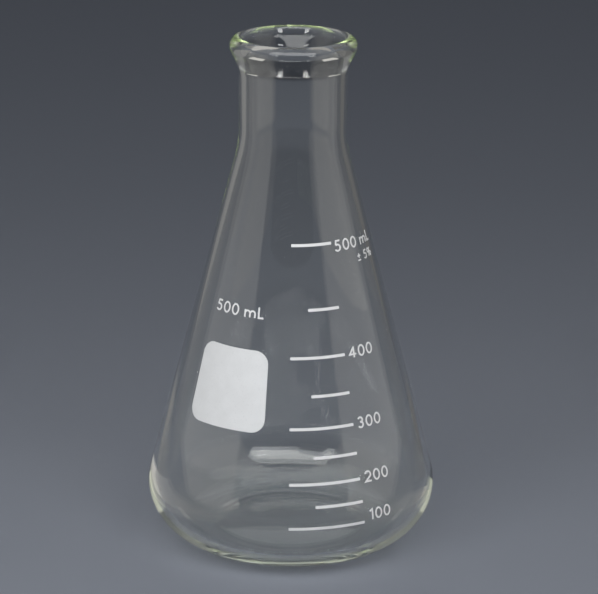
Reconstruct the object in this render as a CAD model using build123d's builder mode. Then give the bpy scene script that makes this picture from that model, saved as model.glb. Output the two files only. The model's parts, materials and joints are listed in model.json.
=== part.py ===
from build123d import *
from math import asin, cos, degrees, radians, sin, sqrt, tan
import os

# Erlenmeyer flask, 500 mL, narrow mouth: one piece of blown borosilicate glass that carries white
# enamel marks, each fired on as its own thin layer.
# Millimetres, +Z up. The origin is the centre of the base, on the bench. The scale is on the -Y side.
# An azimuth is an angle round the axis from -Y, positive towards +X.

# glass, outside
height = 178.0
cone_half_angle = 15.0
cone_foot_radius = 56.2      # where the straight cone, carried down, would meet the bench
heel_radius = 19.5           # round corner between the cone and the base
foot_radius = 27.0           # inner edge of the ring that the flask stands on
push_up = 1.5                # rise of the hollow under the base
neck_outer_radius = 18.3
shoulder_radius = 36.5       # sweep from the cone into the neck

# glass, inside
wall = 2.2
floor_thickness = 3.5
inner_heel_radius = 16.6

# lip, measured down from the mouth
lip_outer_radius = 21.5
lip_bead_radius = 2.9        # round outer edge of the lip
lip_bead_height = 4.0
lip_under_radius = 3.4       # from the bead into the flare
lip_flare_height = 10.8
lip_flare_radius = 5.0       # from the flare into the neck
mouth_radius = 17.4
mouth_edge_radius = 1.3
mouth_flare_height = 9.0
mouth_throat_radius = 12.0

# enamel
enamel = 0.07
line_width = 0.95
long_line_start = -0.6       # azimuths, in degrees
short_line_start = 10.0
line_end = 30.0
graduation_heights = {
    100: 20.5,
    150: 27.5,
    200: 35.0,
    250: 43.5,
    300: 53.0,
    350: 63.5,
    400: 76.0,
    450: 91.5,
    500: 112.5,
}

# printed characters
cap_height = 4.0
small_cap_height = 3.2
stroke = 0.6
small_stroke = 0.48
letter_gap = 0.7
number_start = 32.2          # azimuth of a number's left edge
number_drops = {100: -0.2, 200: 1.7, 300: 1.8, 400: 1.7, 500: 3.2}   # baseline below its line
tolerance_start = 52.0
tolerance_baseline = 104.3
capacity_start = -51.5
capacity_baseline = 88.2

# marking spot
spot_left = -54.3
spot_right = -12.2
spot_bottom = 51.2
spot_top = 77.9
spot_corner_radius = 4.6
print_reach = 1.2            # how far a mark's outline is carried through the enamel layer

# worked out from the sizes above
slope = tan(radians(cone_half_angle))
lean = cos(radians(cone_half_angle))
heel_centre = cone_foot_radius - heel_radius * (slope + 1 / lean)
heel_top = heel_radius * (1 + sin(radians(cone_half_angle)))
neck_inner_radius = neck_outer_radius - wall
inner_foot_radius = cone_foot_radius - wall / lean
neck_corner = (cone_foot_radius - neck_outer_radius) / slope
inner_neck_corner = (inner_foot_radius - neck_inner_radius) / slope
inner_heel_corner = inner_foot_radius - floor_thickness * slope
dome_radius = (foot_radius**2 + push_up**2) / (2 * push_up)


def outside_radius(z):
    """Radius of the glass outside, on the cone or on the heel below it."""
    if z >= heel_top:
        return cone_foot_radius - z * slope
    return heel_centre + sqrt(heel_radius**2 - (heel_radius - z) ** 2)


def outside_tilt(z):
    """Angle by which the outside faces upwards, in degrees."""
    if z >= heel_top:
        return cone_half_angle
    return degrees(asin((z - heel_radius) / heel_radius))


def round_corner(section, corner, radius):
    """Round the corner of a sketch that is nearest to a point."""
    fillet(section.vertices().sort_by_distance(corner)[0], radius)


# ---- flask body: one closed section, turned about the axis ----
corners = {
    "heel": ((cone_foot_radius, 0), heel_radius),
    "shoulder": ((neck_outer_radius, neck_corner), shoulder_radius),
    "lip_flare": ((neck_outer_radius, height - lip_flare_height), lip_flare_radius),
    "lip_under": ((lip_outer_radius, height - lip_bead_height), lip_under_radius),
    "lip_bead": ((lip_outer_radius, height), lip_bead_radius),
    "mouth_edge": ((mouth_radius, height), mouth_edge_radius),
    "mouth_throat": ((neck_inner_radius, height - mouth_flare_height), mouth_throat_radius),
    "inner_shoulder": ((neck_inner_radius, inner_neck_corner), shoulder_radius + wall),
    "inner_heel": ((inner_heel_corner, floor_thickness), inner_heel_radius),
}

with BuildPart() as flask_body:
    with BuildSketch(Plane.XZ) as glass_section:
        with BuildLine():
            underside = RadiusArc((0, push_up), (foot_radius, 0), dome_radius)
            inside_floor = RadiusArc(
                (0, push_up + floor_thickness), (foot_radius, floor_thickness), dome_radius
            )
            Polyline(underside @ 1, *[point for point, radius in corners.values()], inside_floor @ 1)
            Line(underside @ 0, inside_floor @ 0)
        make_face()
        for point, radius in corners.values():
            round_corner(glass_section, Vector(*point), radius)
    revolve(axis=Axis.Z)


# ---- enamel layer: a skin on the heel and the cone, which each mark is cut from ----
def envelope(proud):
    """Solid of the flask's outside below the shoulder, grown by a thickness."""
    corner = Vector(cone_foot_radius + proud * (slope + 1 / lean), -proud)
    top = graduation_heights[500] + 2 * cap_height
    with BuildPart() as grown:
        with BuildSketch(Plane.XZ) as half:
            with BuildLine():
                Polyline(
                    (0, -proud),
                    corner,
                    (cone_foot_radius + proud / lean - top * slope, top),
                    (0, top),
                    close=True,
                )
            make_face()
            round_corner(half, corner, heel_radius + proud)
        revolve(axis=Axis.Z)
    return grown.part


with BuildPart() as enamel_skin:
    add(envelope(enamel))
    add(envelope(0), mode=Mode.SUBTRACT)


# ---- graduation lines ----
def radial_plane(azimuth):
    """Upright plane through the axis, its x pointing outwards at an azimuth."""
    a = radians(azimuth)
    return Plane(origin=(0, 0, 0), x_dir=(sin(a), -cos(a), 0), z_dir=(-cos(a), -sin(a), 0))


def graduation_line(z, start):
    """Strip of the enamel layer from one azimuth to the end of the lines."""
    with BuildPart() as strip:
        with BuildSketch(radial_plane(start)):
            with Locations((outside_radius(z), z)):
                Rectangle(2 * print_reach, line_width)
        revolve(axis=Axis.Z, revolution_arc=line_end - start)
        add(enamel_skin.part, mode=Mode.INTERSECT)
    return strip.part


# ---- characters: strokes of a plain geometric style, drawn round the middle of the character ----
# Units are half the cap height. A line is its points; an arc is its centre, radius, start and sweep;
# an oval is its centre, half width and half height.
character_widths = {"0": 1.4, "1": 0.7, "2": 1.36, "3": 1.26, "4": 1.62, "5": 1.3, "m": 2.2, "L": 0.88}
character_widths.update({"±": 1.3, "%": 2.0, " ": 0.1})
character_strokes = {
    "0": [("oval", (0, 0), 0.7, 1)],
    "1": [("line", (-0.35, 0.7), (0.3, 1), (0.3, -1.1))],
    "2": [("arc", (0, 0.36), 0.64, 165, -198), ("line", (0.54, 0.02), (-0.62, -1), (0.78, -1))],
    "3": [("arc", (-0.05, 0.5), 0.5, 155, -245), ("arc", (-0.05, -0.44), 0.56, 100, -250)],
    "4": [
        ("line", (0.36, -1.1), (0.36, 1.1)),
        ("line", (0.36, 0.96), (-0.68, -0.42), (0.9, -0.42)),
    ],
    "5": [("line", (0.6, 1), (-0.3, 1), (-0.46, 0.12)), ("arc", (-0.06, -0.38), 0.62, 128, -278)],
    "m": [("line", (-1.1, -1.1), (-1.1, 0.4))]
    + [("arc", (x, -0.35), 0.55, 180, -180) for x in (-0.55, 0.55)]
    + [("line", (x, -0.35), (x, -1.1)) for x in (0, 1.1)],
    "L": [("line", (-0.44, 1.1), (-0.44, -1), (0.6, -1))],
    "±": [
        ("line", (-0.6, 0.25), (0.6, 0.25)),
        ("line", (0, 0.85), (0, -0.35)),
        ("line", (-0.6, -0.85), (0.6, -0.85)),
    ],
    "%": [
        ("oval", (-0.6, 0.5), 0.4, 0.5),
        ("oval", (0.6, -0.5), 0.4, 0.5),
        ("line", (0.5, 1.05), (-0.5, -1.05)),
    ],
}


def character_sketch(character, unit, weight):
    """One character as a flat sketch, its strokes of one weight."""
    with BuildSketch(Plane.XY) as drawn:
        for kind, *shape in character_strokes[character]:
            if kind == "oval":
                centre, half_width, half_height = shape
                with Locations((centre[0] * unit, centre[1] * unit)):
                    Ellipse(half_width * unit + weight / 2, half_height * unit + weight / 2)
                    Ellipse(
                        half_width * unit - weight / 2,
                        half_height * unit - weight / 2,
                        mode=Mode.SUBTRACT,
                    )
            else:
                with BuildLine():
                    if kind == "line":
                        Polyline(*[(x * unit, y * unit) for x, y in shape])
                    else:
                        centre, radius, start, sweep = shape
                        CenterArc((centre[0] * unit, centre[1] * unit), radius * unit, start, sweep)
                trace(line_width=weight)
    return drawn.sketch


def tangent_plane(azimuth, z):
    """Plane that touches the outside, its x running round the flask and its y up the glass."""
    a = radians(azimuth)
    tilt = radians(outside_tilt(z))
    radius = outside_radius(z)
    return Plane(
        origin=(radius * sin(a), -radius * cos(a), z),
        x_dir=(cos(a), sin(a), 0),
        z_dir=(sin(a) * cos(tilt), -cos(a) * cos(tilt), sin(tilt)),
    )


def printed_text(text, start, baseline, cap=cap_height, weight=stroke):
    """Characters set side by side round the flask, each on its own tangent plane."""
    unit = (cap - weight) / 2
    middle = baseline + cap / 2 * lean
    placed = []
    along = 0
    for character in text:
        width = character_widths[character] * unit + weight
        if character != " ":
            azimuth = start + degrees((along + width / 2) / outside_radius(middle))
            placed.append((tangent_plane(azimuth, middle), character_sketch(character, unit, weight)))
        along += width + letter_gap * cap / cap_height
    with BuildPart() as label:
        for plane, flat_character in placed:
            with BuildSketch(plane):
                add(flat_character)
        extrude(amount=print_reach, both=True)
        add(enamel_skin.part, mode=Mode.INTERSECT)
    return label.part


# ---- marking spot: a field for pencil notes, its sides along the cone and its corners round ----
def marking_spot_shape():
    middle_azimuth = (spot_left + spot_right) / 2
    middle_height = (spot_bottom + spot_top) / 2
    half_turn = radians(spot_right - spot_left) / 2
    plane = tangent_plane(middle_azimuth, middle_height)

    def flat(turn, z):
        """Point of the cone, seen square to the tangent plane."""
        r = outside_radius(z)
        a = radians(middle_azimuth) + turn
        return plane.to_local_coords(Vector(r * sin(a), -r * cos(a), z))

    corner_points = [flat(turn, z) for z in (spot_bottom, spot_top) for turn in (-half_turn, half_turn)]
    bottom_left, bottom_right, top_left, top_right = [Vector(p.X, p.Y) for p in corner_points]
    bottom_middle, top_middle = [Vector(p.X, p.Y) for p in (flat(0, spot_bottom), flat(0, spot_top))]
    with BuildPart() as spot:
        with BuildSketch(plane) as outline:
            with BuildLine():
                ThreePointArc(bottom_left, bottom_middle, bottom_right)
                Line(bottom_right, top_right)
                ThreePointArc(top_right, top_middle, top_left)
                Line(top_left, bottom_left)
            make_face()
            fillet(outline.vertices(), spot_corner_radius)
        extrude(amount=5 * print_reach, both=True)
        add(enamel_skin.part, mode=Mode.INTERSECT)
    return spot.part


# ---- every piece under its own name ----
pieces = {"flask_body": flask_body.part, "marking_spot": marking_spot_shape()}
pieces["capacity_label"] = printed_text("500 mL", capacity_start, capacity_baseline)
pieces["tolerance_label"] = printed_text(
    "± 5%", tolerance_start, tolerance_baseline, small_cap_height, small_stroke
)
for volume, z in graduation_heights.items():
    numbered = volume in number_drops
    start = long_line_start if numbered else short_line_start
    pieces[f"graduation_line_{volume}"] = graduation_line(z, start)
    if numbered:
        text = f"{volume} mL" if volume == 500 else str(volume)
        pieces[f"graduation_number_{volume}"] = printed_text(text, number_start, z - number_drops[volume])

os.makedirs("parts", exist_ok=True)
for name, piece in pieces.items():
    piece.label = name
    export_step(piece, f"parts/{name}.step")
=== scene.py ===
import json
import math
import bpy
from mathutils import Matrix, Vector, noise


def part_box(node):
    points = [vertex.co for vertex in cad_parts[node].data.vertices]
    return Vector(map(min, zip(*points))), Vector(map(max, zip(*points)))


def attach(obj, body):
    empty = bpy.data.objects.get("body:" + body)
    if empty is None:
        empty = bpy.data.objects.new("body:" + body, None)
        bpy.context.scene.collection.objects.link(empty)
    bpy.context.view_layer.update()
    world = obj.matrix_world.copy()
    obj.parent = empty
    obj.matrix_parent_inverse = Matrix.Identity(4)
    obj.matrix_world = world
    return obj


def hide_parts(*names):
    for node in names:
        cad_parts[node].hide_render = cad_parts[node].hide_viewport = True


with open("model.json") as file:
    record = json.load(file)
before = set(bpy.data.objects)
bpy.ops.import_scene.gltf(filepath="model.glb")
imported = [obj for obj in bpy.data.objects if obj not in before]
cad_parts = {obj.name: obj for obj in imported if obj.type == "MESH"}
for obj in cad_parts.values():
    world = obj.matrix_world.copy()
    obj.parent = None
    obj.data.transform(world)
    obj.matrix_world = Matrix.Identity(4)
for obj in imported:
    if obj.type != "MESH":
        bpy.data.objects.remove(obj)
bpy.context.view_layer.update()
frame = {"nodes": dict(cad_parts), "record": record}

# Metres, in the frame of the CAD model: +Z up, the origin at the centre of the base, the scale on -Y.
# An azimuth is an angle round the axis from -Y, positive towards +X.
mm = 0.001
mounts = {mount["name"]: mount for mount in frame["record"]["mounts"]}

# glass, outside
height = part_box("flask_body")[1].z
cone_half_angle = math.radians(15)
cone_foot_radius = 56.2 * mm
heel_radius = 19.5 * mm
foot_radius = 27.0 * mm
foot_softening = 3.0 * mm      # the base's inner edge, rounded where it meets the hollow
push_up = 1.5 * mm
shoulder_radius = 36.5 * mm
enamel_bed = 0.02 * mm         # how deep the enamel's inner face sits in the glass

# glass, inside
wall = 2.2 * mm
floor_thickness = 3.5 * mm
inner_heel_radius = 16.6 * mm
neck_inner_radius = mounts["neck_bore"]["dims"]["r_mm"] * mm
neck_outer_radius = neck_inner_radius + wall

# lip, measured down from the mouth
lip_outer_radius = 21.5 * mm
lip_bead_radius = 2.9 * mm
lip_bead_height = 4.0 * mm
lip_under_radius = 3.4 * mm
lip_flare_height = 10.8 * mm
lip_flare_radius = 5.0 * mm
mouth_radius = 17.4 * mm
mouth_edge_radius = 1.3 * mm
mouth_flare_height = 9.0 * mm
mouth_throat_radius = 12.0 * mm

# mesh
around = 288
row_spacing = 2.0 * mm
arc_step = math.radians(4)
dome_rows = 20
on_axis = 1e-7                 # a point nearer to the axis than this lies on it

# slow waves of the blown inside wall
wave_depth = 0.05 * mm
wave_length = 26.0 * mm
wave_stretch = 2.2             # waves are this much longer down the wall than round it
wave_fade_rows = 12


# ---- outline of the glass ----
def arc(centre, start, turn):
    """Points of an arc from start about centre."""
    steps = max(2, math.ceil(abs(turn) / arc_step))
    spoke = start - centre
    return [centre + Matrix.Rotation(turn * i / steps, 2) @ spoke for i in range(steps + 1)]


def rounded(corners):
    """Open outline through (point, radius) corners, each turned into an arc of its radius."""
    points = [corners[0][0]]
    for (before, _), (corner, radius), (after, _) in zip(corners, corners[1:], corners[2:]):
        inward = (corner - before).normalized()
        outward = (after - corner).normalized()
        turn = math.atan2(inward.x * outward.y - inward.y * outward.x, inward.dot(outward))
        start = corner - inward * radius * math.tan(abs(turn) / 2)
        left = Vector((-inward.y, inward.x)) * math.copysign(radius, turn)
        points += arc(start + left, start, turn)
    return points + [corners[-1][0]]


def evenly_filled(points):
    """The outline with rows no further apart than row_spacing."""
    filled = [points[0]]
    for a, b in zip(points, points[1:]):
        steps = max(1, math.ceil((b - a).length / row_spacing))
        filled += [a.lerp(b, i / steps) for i in range(1, steps + 1)]
    return filled


def dome(edge):
    """Points of the shallow push-up, from the axis almost to its edge."""
    shares = [i / dome_rows for i in range(dome_rows)]
    return [Vector((share * foot_radius, edge + push_up * (1 - share**2))) for share in shares]


def glass_outline():
    """Outline from the axis under the base, up the outside, over the lip and down the inside."""
    slope = math.tan(cone_half_angle)
    lean = math.cos(cone_half_angle)
    outer_foot = cone_foot_radius + enamel_bed / lean
    inner_foot = cone_foot_radius - wall / lean
    outside = [
        (Vector((foot_radius, 0)), foot_softening),
        (Vector((outer_foot, 0)), heel_radius),
        (Vector((neck_outer_radius, (outer_foot - neck_outer_radius) / slope)), shoulder_radius),
        (Vector((neck_outer_radius, height - lip_flare_height)), lip_flare_radius),
        (Vector((lip_outer_radius, height - lip_bead_height)), lip_under_radius),
        (Vector((lip_outer_radius, height)), lip_bead_radius),
    ]
    inside = [
        (Vector((mouth_radius, height)), mouth_edge_radius),
        (Vector((neck_inner_radius, height - mouth_flare_height)), mouth_throat_radius),
        (Vector((neck_inner_radius, (inner_foot - neck_inner_radius) / slope)), shoulder_radius + wall),
        (Vector((inner_foot - floor_thickness * slope, floor_thickness)), inner_heel_radius),
        (Vector((foot_radius, floor_thickness)), foot_softening),
    ]
    under = dome(0)
    floor = dome(floor_thickness)[::-1]
    points = rounded([(under[-1], 0)] + outside + inside + [(floor[0], 0)])
    return evenly_filled(under[:-1] + points + floor[1:])


# ---- meshes turned about the axis ----
def spin(outline, steps, offset=None):
    """Mesh data of an outline turned about Z. offset says how far a point moves along its normal."""
    vertices = []
    rows = []
    for k, point in enumerate(outline):
        if point.x < on_axis:
            rows.append([len(vertices)])
            vertices.append((0, 0, point.y))
            continue
        along = outline[min(k + 1, len(outline) - 1)] - outline[max(k - 1, 0)]
        normal = Vector((-along.y, along.x)).normalized()
        rows.append(range(len(vertices), len(vertices) + steps))
        for j in range(steps):
            angle = 2 * math.pi * j / steps
            moved = point + normal * offset(k, angle) if offset else point
            vertices.append((moved.x * math.cos(angle), moved.x * math.sin(angle), moved.y))
    faces = []
    for lower, upper in zip(rows, rows[1:]):
        for j in range(steps):
            corners = [lower[j % len(lower)], lower[(j + 1) % len(lower)]]
            corners += [upper[(j + 1) % len(upper)], upper[j % len(upper)]]
            faces.append(list(dict.fromkeys(corners)))
    return vertices, faces


def mesh_object(name, vertices, faces, material):
    """A smooth-shaded mesh object with one material."""
    mesh = bpy.data.meshes.new(name)
    mesh.from_pydata(vertices, [], faces)
    mesh.polygons.foreach_set("use_smooth", [True] * len(faces))
    mesh.materials.append(material)
    mesh.update()
    made = bpy.data.objects.new(name, mesh)
    bpy.context.scene.collection.objects.link(made)
    return made


# ---- materials ----
def new_material(name):
    """A node material, its nodes and its links."""
    material = bpy.data.materials.new(name)
    material.use_nodes = True
    return material, material.node_tree.nodes, material.node_tree.links


def glass_material():
    """Clear borosilicate glass that turns yellow-green where light runs far inside it."""
    material, nodes, links = new_material("borosilicate_glass")
    shader = nodes["Principled BSDF"]
    shader.inputs["Base Color"].default_value = (0.994, 1.0, 0.992, 1)
    shader.inputs["Roughness"].default_value = 0.0
    shader.inputs["IOR"].default_value = 1.474
    shader.inputs["Transmission Weight"].default_value = 1.0
    absorption = nodes.new("ShaderNodeVolumeAbsorption")
    absorption.inputs["Color"].default_value = (0.92, 1.0, 0.74, 1)
    absorption.inputs["Density"].default_value = 5.5
    links.new(absorption.outputs["Volume"], nodes["Material Output"].inputs["Volume"])
    return material


def enamel_material(name, colour, roughness):
    """Fired white enamel: a satin face with a fine grain, pinholes and slow changes of thickness."""
    material, nodes, links = new_material(name)
    shader = nodes["Principled BSDF"]
    place = nodes.new("ShaderNodeTexCoord").outputs["Object"]

    def noise_node(size, detail):
        made = nodes.new("ShaderNodeTexNoise")
        made.inputs["Scale"].default_value = 1 / size
        made.inputs["Detail"].default_value = detail
        links.new(place, made.inputs["Vector"])
        return made.outputs["Fac"]

    def ramp(source, stops):
        made = nodes.new("ShaderNodeValToRGB")
        low, high = made.color_ramp.elements
        for element, (position, value) in zip((low, high), stops):
            element.position = position
            element.color = (*value, 1)
        links.new(source, made.inputs["Fac"])
        return made.outputs["Color"]

    thin = [channel * 0.95 for channel in colour]
    pinhole = (0.72, 0.73, 0.74)
    thickness = ramp(noise_node(size=5 * mm, detail=2), [(0.3, thin), (0.7, colour)])
    pinholes = ramp(noise_node(size=0.35 * mm, detail=3), [(0.30, pinhole), (0.38, (1, 1, 1))])
    mix = nodes.new("ShaderNodeMix")
    mix.data_type = "RGBA"
    mix.blend_type = "MULTIPLY"
    mix.inputs["Factor"].default_value = 0.6
    links.new(thickness, mix.inputs["A"])
    links.new(pinholes, mix.inputs["B"])
    links.new(mix.outputs["Result"], shader.inputs["Base Color"])

    grain = noise_node(size=0.25 * mm, detail=4)
    spread = nodes.new("ShaderNodeMapRange")
    spread.inputs["To Min"].default_value = roughness - 0.06
    spread.inputs["To Max"].default_value = roughness + 0.10
    links.new(grain, spread.inputs["Value"])
    links.new(spread.outputs["Result"], shader.inputs["Roughness"])

    bump = nodes.new("ShaderNodeBump")
    bump.inputs["Strength"].default_value = 0.25
    bump.inputs["Distance"].default_value = 0.01 * mm
    links.new(grain, bump.inputs["Height"])
    links.new(bump.outputs["Normal"], shader.inputs["Normal"])
    shader.inputs["IOR"].default_value = 1.52
    return material


def floor_material():
    """Matt, grey-blue backdrop paper."""
    material, nodes, _ = new_material("backdrop_paper")
    shader = nodes["Principled BSDF"]
    shader.inputs["Base Color"].default_value = (0.154, 0.168, 0.196, 1)
    shader.inputs["Roughness"].default_value = 0.9
    shader.inputs["Specular IOR Level"].default_value = 0.2
    return material


# ---- the flask ----
outline = glass_outline()
lip_row = max(range(len(outline)), key=lambda k: outline[k].y)


def wave(row, angle):
    """How far the blown inside wall stands off its true shape, fading out to the lip and the axis."""
    girth = cone_foot_radius / wave_length
    depth = outline[row].y / (wave_length * wave_stretch)
    from_lip = max(0, row - lip_row) / wave_fade_rows
    from_axis = (len(outline) - 1 - row) / wave_fade_rows
    fade = min(1, from_lip) * min(1, from_axis)
    place = Vector((math.cos(angle) * girth, math.sin(angle) * girth, depth))
    return wave_depth * fade * noise.noise(place)


glass_body = mesh_object("glass_body", *spin(outline, around, wave), glass_material())
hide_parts("flask_body")
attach(glass_body, "root")

print_enamel = enamel_material("print_enamel", (0.65, 0.66, 0.665), 0.40)
spot_enamel = enamel_material("spot_enamel", (0.62, 0.632, 0.641), 0.62)
for name, node in frame["nodes"].items():
    if name != "flask_body":
        node.material_slots[0].material = spot_enamel if name == "marking_spot" else print_enamel


# ---- studio ----
def direction(azimuth, elevation):
    """Unit vector towards an azimuth and an elevation, both in degrees."""
    azimuth, elevation = math.radians(azimuth), math.radians(elevation)
    level = math.cos(elevation)
    return Vector((math.sin(azimuth) * level, -math.cos(azimuth) * level, math.sin(elevation)))


floor_height = -0.1 * mm
flat_radius = 0.25
bowl_radius = 3.0
bowl_rise = math.radians(65)
backdrop_around = 96
bowl_edge = Vector((flat_radius, floor_height))
bowl_centre = Vector((flat_radius, floor_height + bowl_radius))
backdrop_outline = [Vector((0, floor_height))] + arc(bowl_centre, bowl_edge, bowl_rise)
backdrop = mesh_object("backdrop", *spin(backdrop_outline, backdrop_around), floor_material())

softbox_azimuth = -5
softbox_elevation = 47
softbox_distance = 0.7
softbox_width = 1.15
softbox_tall = 0.46
softbox_radiance = 4.75
softbox_data = bpy.data.lights.new("front_softbox", "AREA")
softbox_data.shape = "RECTANGLE"
softbox_data.size = softbox_width
softbox_data.size_y = softbox_tall
softbox_data.energy = softbox_radiance * math.pi * softbox_width * softbox_tall
softbox = bpy.data.objects.new("front_softbox", softbox_data)
towards = direction(softbox_azimuth, softbox_elevation)
softbox.location = Vector((0, 0, height / 2)) + towards * softbox_distance
softbox.rotation_euler = towards.to_track_quat("Z", "Y").to_euler()
bpy.context.scene.collection.objects.link(softbox)


# ---- reflection cards ----
# Pale and dark sheets round the flask, which only show in what the glass mirrors or bends. Each is
# seen where one of its tests on the light path holds, and it is clear everywhere else.
not_straight_through = [
    ("Glossy Depth", "GREATER_THAN", 0.5),
    ("Transmission Depth", "LESS_THAN", 2.5),
    ("Diffuse Depth", "GREATER_THAN", 0.5),
]
mirrored = [("Glossy Depth", "GREATER_THAN", 0.5)]
through_both_walls = [("Transmission Depth", "GREATER_THAN", 2.5)]
neutral = (1, 1, 1)
warm = (1.03, 1.0, 0.96)


def card_material(colour, radiance, seen):
    """Glow where a test in seen holds, and clear elsewhere."""
    material, nodes, links = new_material("reflection_card")
    nodes.clear()
    path = nodes.new("ShaderNodeLightPath")
    clear = nodes.new("ShaderNodeBsdfTransparent")
    glow = nodes.new("ShaderNodeEmission")
    glow.inputs["Color"].default_value = (*colour, 1)
    glow.inputs["Strength"].default_value = radiance
    mix = nodes.new("ShaderNodeMixShader")
    output = nodes.new("ShaderNodeOutputMaterial")
    total = None
    for source, operation, limit in seen:
        test = nodes.new("ShaderNodeMath")
        test.operation = operation
        test.inputs[1].default_value = limit
        links.new(path.outputs[source], test.inputs[0])
        if total is None:
            total = test
            continue
        either = nodes.new("ShaderNodeMath")
        either.operation = "MAXIMUM"
        links.new(total.outputs["Value"], either.inputs[0])
        links.new(test.outputs["Value"], either.inputs[1])
        total = either
    links.new(total.outputs["Value"], mix.inputs["Fac"])
    links.new(clear.outputs["BSDF"], mix.inputs[1])
    links.new(glow.outputs["Emission"], mix.inputs[2])
    links.new(mix.outputs["Shader"], output.inputs["Surface"])
    material.cycles.emission_sampling = "NONE"
    return material


def card(name, corners, radiance, colour=neutral, seen=not_straight_through, lights_scene=False):
    """Flat sheet. With lights_scene it also lights the floor and the print."""
    made = mesh_object(name, corners, [range(len(corners))], card_material(colour, radiance, seen))
    made.visible_camera = False
    made.visible_diffuse = lights_scene
    made.visible_shadow = False


def lying(name, corners, z, radiance, **options):
    """Level card at height z, with corners as (x, y)."""
    card(name, [(x, y, z) for x, y in corners], radiance, **options)


def upright(name, start, end, bottom, top, radiance, **options):
    """Upright card over the line from start to end, both as (x, y)."""
    card(name, [(*start, bottom), (*end, bottom), (*end, top), (*start, top)], radiance, **options)


tent = 0.30               # half the tent's width, and its reach towards the front
roof = 0.62
panel_bottom = 0.02
panel_end = 0.08          # y where the pale side panels end
far_end = 1.0             # y of the back
inner = 0.12              # x of the rear ground's inner edge
outer = 0.28              # x of the rear walls
low_top = 0.17            # top of the low rear walls
back_bottom = 0.24
lift = 0.5 * mm           # height of the table, front and glow cards over the floor's level
clearing = 0.07           # the table cards keep this far from the axis
front_clearing = 0.048    # so does the front card
glow_strip = ((0.05, 0.38), (0.12, 0.97), (0.36, 0.97), (0.19, 0.38))
glow_inner = 0.12
glow_outer = 0.36
glow_top = 0.26
glow_radiance = 0.55
lamp_azimuth = 32
lamp_distance = 0.2
lamp_half_width = 0.02
lamp_bottom = 0.194
lamp_top = 0.212

sides = (
    # side, name, radiance of the rear ground and of the table, y where the table ends
    (-1, "left", 0.20, 0.45, 0.08),
    (1, "right", 0.12, 0.30, 0.03),
)
for side, name, ground_radiance, table_radiance, table_end in sides:
    edge = side * tent
    near, far = side * inner, side * outer
    table_start = side * clearing
    table = (
        (edge, -tent),
        (table_start, -clearing),
        (table_start, table_end),
        (edge, table_end),
    )
    lying("table_" + name, table, lift, table_radiance, colour=warm)
    upright("panel_" + name, (edge, -tent), (edge, panel_end), panel_bottom, roof, radiance=0.6,
            colour=warm, lights_scene=True)
    ground = ((near, panel_end), (near, far_end), (far, far_end), (far, panel_end))
    lying("ground_" + name, ground, 0, ground_radiance)
    upright("low_wall_" + name, (far, panel_end), (far, far_end), 0, low_top, ground_radiance)
    upright("wall_" + name, (far, panel_end), (far, far_end), low_top, roof, radiance=0.2)
    strip = [(side * x, y) for x, y in glow_strip]
    lying("glow_ground_" + name, strip, lift, glow_radiance, colour=warm, seen=through_both_walls)
    upright("glow_" + name, (side * glow_inner, far_end), (side * glow_outer, far_end), 0, glow_top,
            glow_radiance, colour=warm, seen=through_both_walls)
    middle = direction(side * lamp_azimuth, 0).xy * lamp_distance
    across = direction(side * lamp_azimuth + 90, 0).xy * lamp_half_width
    upright("lamp_" + name, middle - across, middle + across, lamp_bottom, lamp_top, radiance=12)
upright("back_wall", (-outer, far_end), (outer, far_end), back_bottom, roof, radiance=0.12)
front = (
    (-front_clearing, -front_clearing),
    (front_clearing, -front_clearing),
    (tent, -tent),
    (-tent, -tent),
)
lying("table_front", front, lift, radiance=0.05, seen=mirrored)
roof_corners = ((-tent, 0), (tent, 0), (tent, far_end), (-tent, far_end))
lying("roof", roof_corners, roof, radiance=0.5)

world = bpy.data.worlds.new("studio")
world.use_nodes = True
world.node_tree.nodes["Background"].inputs["Color"].default_value = (0.115, 0.121, 0.138, 1)
bpy.context.scene.world = world

# ---- camera ----
camera_elevation = 17.855
camera_distance = 0.8626
aim_height = 0.08615
sideways = 0.00244
roll = math.radians(0.389)
camera_data = bpy.data.cameras.new("camera")
camera_data.sensor_width = 36
camera_data.lens = 149.9
camera = bpy.data.objects.new("camera", camera_data)
back = direction(0, camera_elevation)
camera.location = Vector((sideways, 0, aim_height)) + back * camera_distance
camera.rotation_mode = "QUATERNION"
level = back.to_track_quat("Z", "Y")
camera.rotation_quaternion = level @ Matrix.Rotation(roll, 4, "Z").to_quaternion()
bpy.context.scene.collection.objects.link(camera)
bpy.context.scene.camera = camera

# Light runs a long way inside the glass wall before it leaves at the lip.
bounce_limit = 256
cycles = bpy.context.scene.cycles
cycles.max_bounces = bounce_limit
cycles.transmission_bounces = bounce_limit
cycles.glossy_bounces = bounce_limit
cycles.sample_clamp_indirect = 0
cycles.blur_glossy = 0
bpy.context.scene.view_settings.view_transform = "Standard"
